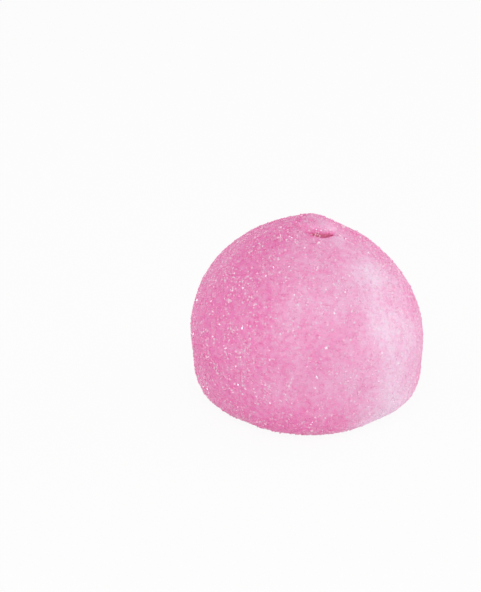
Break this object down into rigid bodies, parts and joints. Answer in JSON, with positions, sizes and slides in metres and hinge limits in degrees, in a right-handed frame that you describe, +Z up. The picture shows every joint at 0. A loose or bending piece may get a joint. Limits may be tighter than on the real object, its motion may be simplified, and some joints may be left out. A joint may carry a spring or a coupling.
{
  "type": "marshmallow",
  "caption": "Soft domed foam sweet with a flat base, a pinched nub on top and a crust of fine sugar.",
  "frame": {"origin": "middle of the flat base, on the surface that the sweet stands on", "axes": "+Z up through the nub, front towards -Y, the side that the fold of the nub leans to"},
  "size_m": [0.038, 0.0382, 0.032],
  "materials": {
    "sugared_foam": "soft pink foam under a pale, glittering crust of fine sugar crystals"
  },
  "bodies": {
    "root": {"marshmallow": "sugared_foam"}
  },
  "joints": []
}
